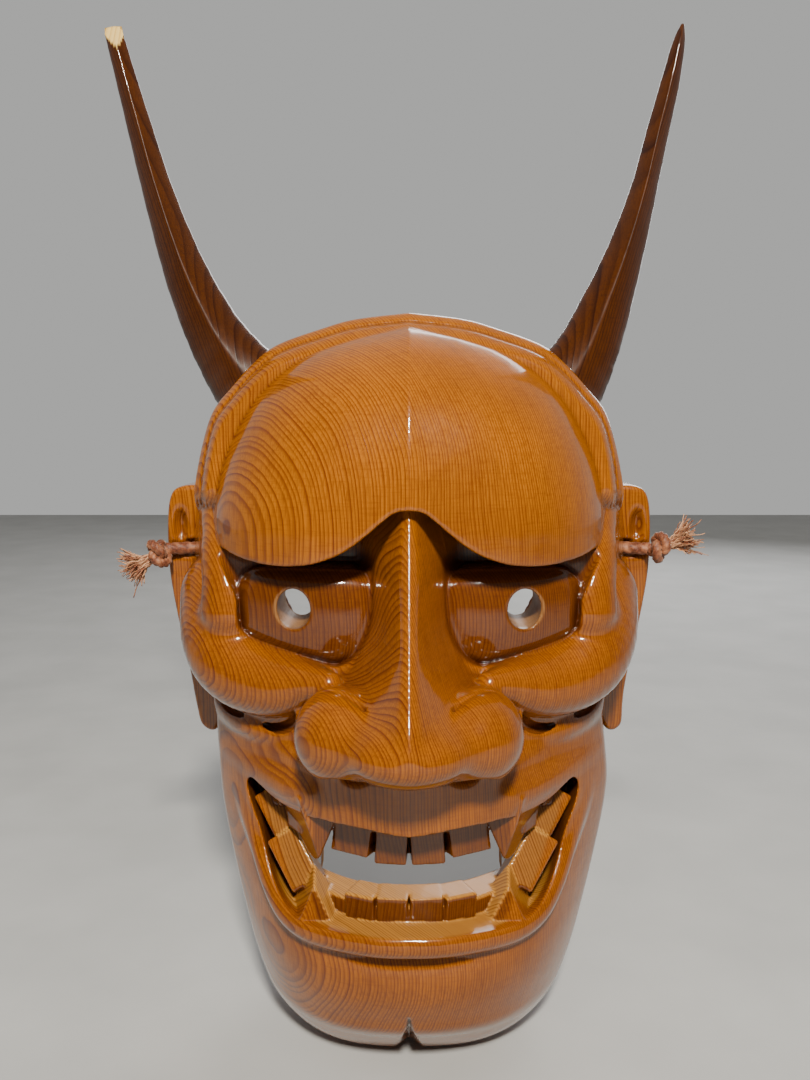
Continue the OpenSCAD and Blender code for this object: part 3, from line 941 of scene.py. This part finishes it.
class Nodes:
    """Shorthand for building a material's node tree."""

    def __init__(self, name):
        self.material = bpy.data.materials.new(name)
        self.material.use_nodes = True
        self.tree = self.material.node_tree
        self.shader = self.tree.nodes["Principled BSDF"]

    def put(self, socket, value):
        """Link a socket to an output, or set its value."""
        if hasattr(value, "is_output"):
            self.tree.links.new(value, socket)
        elif isinstance(value, (tuple, list)) and len(value) == 3 and socket.type == "RGBA":
            socket.default_value = (*value, 1)
        else:
            socket.default_value = value

    def math(self, kind, a, b=0.0, c=0.0, clamp=False):
        node = self.tree.nodes.new("ShaderNodeMath")
        node.operation = kind
        node.use_clamp = clamp
        for socket, value in zip(node.inputs, (a, b, c)):
            self.put(socket, value)
        return node.outputs[0]

    def coords(self, scale=(1000, 1000, 1000)):
        """Place on the object, in mm unless another scale is given."""
        where = self.tree.nodes.new("ShaderNodeTexCoord")
        node = self.tree.nodes.new("ShaderNodeMapping")
        node.vector_type = "POINT"
        self.put(node.inputs["Vector"], where.outputs["Object"])
        node.inputs["Scale"].default_value = scale
        return node.outputs[0]

    def split(self, vector):
        node = self.tree.nodes.new("ShaderNodeSeparateXYZ")
        self.put(node.inputs[0], vector)
        return node.outputs

    def noise(self, where, scale, detail, dims="3D"):
        node = self.tree.nodes.new("ShaderNodeTexNoise")
        node.noise_dimensions = dims
        self.put(node.inputs["W" if dims == "1D" else "Vector"], where)
        node.inputs["Scale"].default_value = scale
        node.inputs["Detail"].default_value = detail
        return node.outputs["Fac"]

    def ramp(self, value, stops):
        node = self.tree.nodes.new("ShaderNodeValToRGB")
        self.put(node.inputs[0], value)
        while len(node.color_ramp.elements) < len(stops):
            node.color_ramp.elements.new(0.5)
        for element, (at, colour) in zip(node.color_ramp.elements, stops):
            element.position = at
            colour = colour if isinstance(colour, tuple) else (colour, colour, colour)
            element.color = (*colour, 1)
        return node.outputs[0]

    def mix(self, share, a, b, kind="MIX"):
        node = self.tree.nodes.new("ShaderNodeMix")
        node.data_type = "RGBA"
        node.blend_type = kind
        self.put(node.inputs["Factor"], share)
        colour_a, colour_b = node.inputs[6], node.inputs[7]
        self.put(colour_a, a)
        self.put(colour_b, b)
        return node.outputs[2]

    def tint(self, base, value, low, high, share, colour):
        """Mix a colour in as a value rises from low to high, up to the share."""
        return self.mix(self.ramp(value, [(low, 0.0), (high, share)]), base, colour)

    def attribute(self, name):
        node = self.tree.nodes.new("ShaderNodeAttribute")
        node.attribute_name = name
        return node.outputs["Fac"]

    def bump(self, height, distance, strength, under=None):
        node = self.tree.nodes.new("ShaderNodeBump")
        node.inputs["Strength"].default_value = strength
        node.inputs["Distance"].default_value = distance
        self.put(node.inputs["Height"], height)
        if under is not None:
            self.put(node.inputs["Normal"], under)
        return node.outputs[0]

    def set(self, **values):
        """Set the shader's inputs by name."""
        for name, value in values.items():
            self.put(self.shader.inputs[name.replace("_", " ")], value)


BARE_LIGHT = (0.44, 0.25, 0.10)
BARE_DARK = (0.27, 0.12, 0.04)
BARE_FIBRE = (0.2, 0.09, 0.03)
CHIP_LIGHT = (0.72, 0.5, 0.17)
CHIP_DARK = (0.5, 0.28, 0.06)
TOPS_LIGHT = (0.5, 0.24, 0.05)
TOPS_DARK = (0.16, 0.05, 0.006)
# painted shade: a darker, browner tone multiplied into the lower face
LOWER_FACE_SHADE = (0.6, 0.5, 0.4)


def wood(name, ring, light, dark, deep, ring_mm, horn=False):
    """Varnished softwood: wavy annual rings across the direction ring, fibres along the height."""
    n = Nodes(name)
    at = n.coords()
    x, y, z = n.split(at)
    if horn:
        x = n.math("ABSOLUTE", x)
    drift = n.noise(at, 0.022, 1.0)
    waver = n.noise(n.coords((1000, 1000, 350)), 0.11, 2.0)
    across = n.math("MULTIPLY_ADD", x, ring[0], n.math("MULTIPLY", y, ring[1]))
    across = n.math("ADD", across, n.math("MULTIPLY", z, ring[2]))
    across = n.math("ADD", across, n.math("MULTIPLY", drift, 5.0))
    across = n.math("ADD", across, n.math("MULTIPLY", waver, 0.5))
    years = n.math("DIVIDE", across, ring_mm)
    uneven = n.noise(years, 0.35, 2.0, "1D")
    years = n.math("ADD", years, n.math("MULTIPLY", uneven, 1.3))
    part = n.math("FRACT", years)
    late = n.ramp(part, [(0.0, 0.25), (0.1, 0.0), (0.45, 0.12), (0.8, 0.75), (0.93, 1.0), (1.0, 0.3)])
    strength = n.noise(years, 0.9, 1.0, "1D")
    late = n.math("MULTIPLY", late, n.math("MULTIPLY_ADD", strength, 1.1, 0.28), clamp=True)
    fibre = n.noise(n.coords((2600, 2600, 90)), 1.0, 3.0)
    patch = n.noise(at, 0.035, 3.0)
    streak = n.noise(n.coords((420, 420, 26)), 1.0, 2.0)
    rays = n.noise(n.coords((160, 160, 1700)), 1.0, 1.0)
    base = n.tint(light, patch, 0.35, 0.68, 1.0, tuple(0.78 * v for v in light))
    base = n.mix(late, base, dark)
    base = n.tint(base, fibre, 0.42, 0.75, 0.55, dark)
    base = n.tint(base, streak, 0.55, 0.85, 0.16, deep)
    base = n.tint(base, rays, 0.5, 0.75, 0.22, dark)

    # darker in hollows, partly from pooled varnish and partly painted shade; lighter on worn edges; a
    # painted shade that darkens and browns the lower face; painted shade in the eye sockets and the mouth
    sunken = n.attribute("sunken")
    base = n.tint(base, sunken, 0.1, 0.75, 0.8, deep)
    worn = n.math("MULTIPLY", sunken, -1.0)
    base = n.tint(base, worn, 0.25, 0.8, 0.3, tuple(1.35 * v for v in light))
    if not horn:
        cut_top = n.attribute("cut_top")
        # painted shade: the lower face is darkened below the forehead, which takes more of the key light
        low = n.ramp(n.math("MULTIPLY_ADD", z, 0.02, 0.3), [(0.15, 0.5), (0.7, 0.0)])
        base = n.mix(low, base, n.mix(1.0, base, LOWER_FACE_SHADE, "MULTIPLY"))
        # painted shade in the eye sockets, on the teeth and on the sides of the mouth
        base = n.mix(n.math("MULTIPLY", n.attribute("painted_shade"), 0.55), base, deep)
        base = n.mix(n.math("MULTIPLY", cut_top, 0.8), base, n.mix(late, TOPS_LIGHT, TOPS_DARK))

    # bare wood
    raw = n.attribute("raw")
    bare = n.tint(n.mix(late, BARE_LIGHT, BARE_DARK), fibre, 0.4, 0.8, 0.6, BARE_FIBRE)
    base = n.mix(raw, base, bare)
    if horn:
        base = n.mix(n.attribute("fresh"), base, n.mix(late, CHIP_LIGHT, CHIP_DARK))

    # relief of the grain and the tool, and a coat of varnish that bare wood doesn't have
    grain = n.math("ADD", n.math("MULTIPLY", late, 0.6), n.math("MULTIPLY", fibre, 0.4))
    tool = n.noise(at, 0.16, 1.0)
    relief = n.bump(tool, 0.00035, 0.5)
    relief = n.bump(grain, 0.00006, 0.45, relief)
    rough = n.math("MULTIPLY_ADD", raw, 0.4, n.math("MULTIPLY_ADD", late, -0.08, 0.38))
    coat = n.math("SUBTRACT", 1.0, n.math("MULTIPLY", raw, 1.9), clamp=True)
    if not horn:
        coat = n.math("SUBTRACT", coat, n.math("MULTIPLY", cut_top, 0.75), clamp=True)
    n.set(Base_Color=base, Roughness=rough, Normal=relief, Coat_Weight=coat)
    n.set(Coat_Normal=n.bump(grain, 0.00003, 0.3, n.bump(tool, 0.00025, 0.35)))
    n.set(Coat_Roughness=0.07, Coat_IOR=1.5, Specular_IOR_Level=0.12)
    return n.material


def yarn(name, main, pale, dark, attribute=None):
    """Soft flecked thread. An attribute makes some threads paler than others."""
    n = Nodes(name)
    at = n.coords()
    fleck = n.noise(at, 2.2, 3.0)
    blotch = n.noise(at, 0.35, 2.0)
    base = n.tint(dark, fleck, 0.35, 0.7, 1.0, main)
    base = n.tint(base, blotch, 0.45, 0.75, 0.8, pale)
    if attribute:
        base = n.tint(base, n.attribute(attribute), 0.2, 0.9, 1.0, pale)
    rough = n.math("MULTIPLY_ADD", fleck, 0.25, 0.45)
    n.set(Base_Color=base, Roughness=rough, Normal=n.bump(fleck, 0.0002, 0.8))
    n.set(Sheen_Weight=0.35, Sheen_Roughness=0.4, Sheen_Tint=(0.9, 0.7, 0.55))
    return n.material


def dress(pieces, material):
    for piece in pieces:
        piece.data.materials.append(material)


face_wood = wood("varnished_cypress", ring=(0.78, 0.6, 0.03), light=(0.40, 0.122, 0.0),
                 dark=(0.12, 0.02, 0.0), deep=(0.03, 0.003, 0.0), ring_mm=0.82)
horn_wood = wood("varnished_cypress_horn", ring=(0.8, 0.52, -0.3), light=(0.07, 0.017, 0.0),
                 dark=(0.022, 0.004, 0.0), deep=(0.01, 0.0015, 0.0), ring_mm=1.2, horn=True)
cord_yarn = yarn("copper_cord", (0.22, 0.055, 0.015), (0.45, 0.18, 0.08), (0.06, 0.012, 0.004))
tuft_yarn = yarn("frayed_copper", (0.3, 0.09, 0.03), (0.55, 0.29, 0.15), (0.1, 0.02, 0.007), "strand")
dress([face], face_wood)
dress(horns, horn_wood)
dress([cord] + knots, cord_yarn)
dress(tufts, tuft_yarn)


# ---------------------------------------------------------------- floor and light


def add_floor():
    """A pale, slightly mottled floor just under the chin."""
    size = 1500
    z = CAD_BOX[0][2] / MM - 0.6
    verts = np.array([(-size, -size, z), (size, -size, z), (size, size, z), (-size, size, z)], float)
    floor = new_object("floor", verts, [(0, 1, 2, 3)], False)
    n = Nodes("pale_floor")
    speck = n.noise(n.coords(), 0.02, 4.0)
    n.set(Base_Color=n.ramp(speck, [(0.3, (0.40, 0.40, 0.395)), (0.7, (0.45, 0.45, 0.445))]), Roughness=0.8)
    dress([floor], n.material)


def add_light(name, place, target, size, power, colour):
    """A square lamp, placed in metres."""
    data = bpy.data.lights.new(name, "AREA")
    data.energy = power
    data.size = size
    data.color = colour
    lamp = bpy.data.objects.new(name, data)
    bpy.context.collection.objects.link(lamp)
    lamp.location = place
    lamp.rotation_euler = (Vector(target) - Vector(place)).to_track_quat("-Z", "Y").to_euler()


def add_world():
    """A plain room, dimmer on the viewer's side than behind the mask."""
    world = bpy.data.worlds.new("room")
    bpy.context.scene.world = world
    world.use_nodes = True
    tree = world.node_tree
    toward = tree.nodes.new("ShaderNodeTexCoord")
    split = tree.nodes.new("ShaderNodeSeparateXYZ")
    tree.links.new(toward.outputs["Generated"], split.inputs[0])
    span = tree.nodes.new("ShaderNodeMapRange")
    tree.links.new(split.outputs["Y"], span.inputs["Value"])
    for name, value in (("From Min", -0.35), ("From Max", 0.75), ("To Min", 0.13), ("To Max", 0.5)):
        span.inputs[name].default_value = value
    background = tree.nodes["Background"]
    tree.links.new(span.outputs[0], background.inputs["Strength"])
    background.inputs["Color"].default_value = (0.9, 0.9, 0.88, 1)


add_floor()
add_light("key", (0.04, -0.78, 0.62), (0, -0.05, 0.0), 0.1, 20, (1, 0.95, 0.84))
add_light("back_fill", (0.35, 0.95, 0.45), (0, 0, 0), 0.7, 7, (1, 1, 1))
add_world()
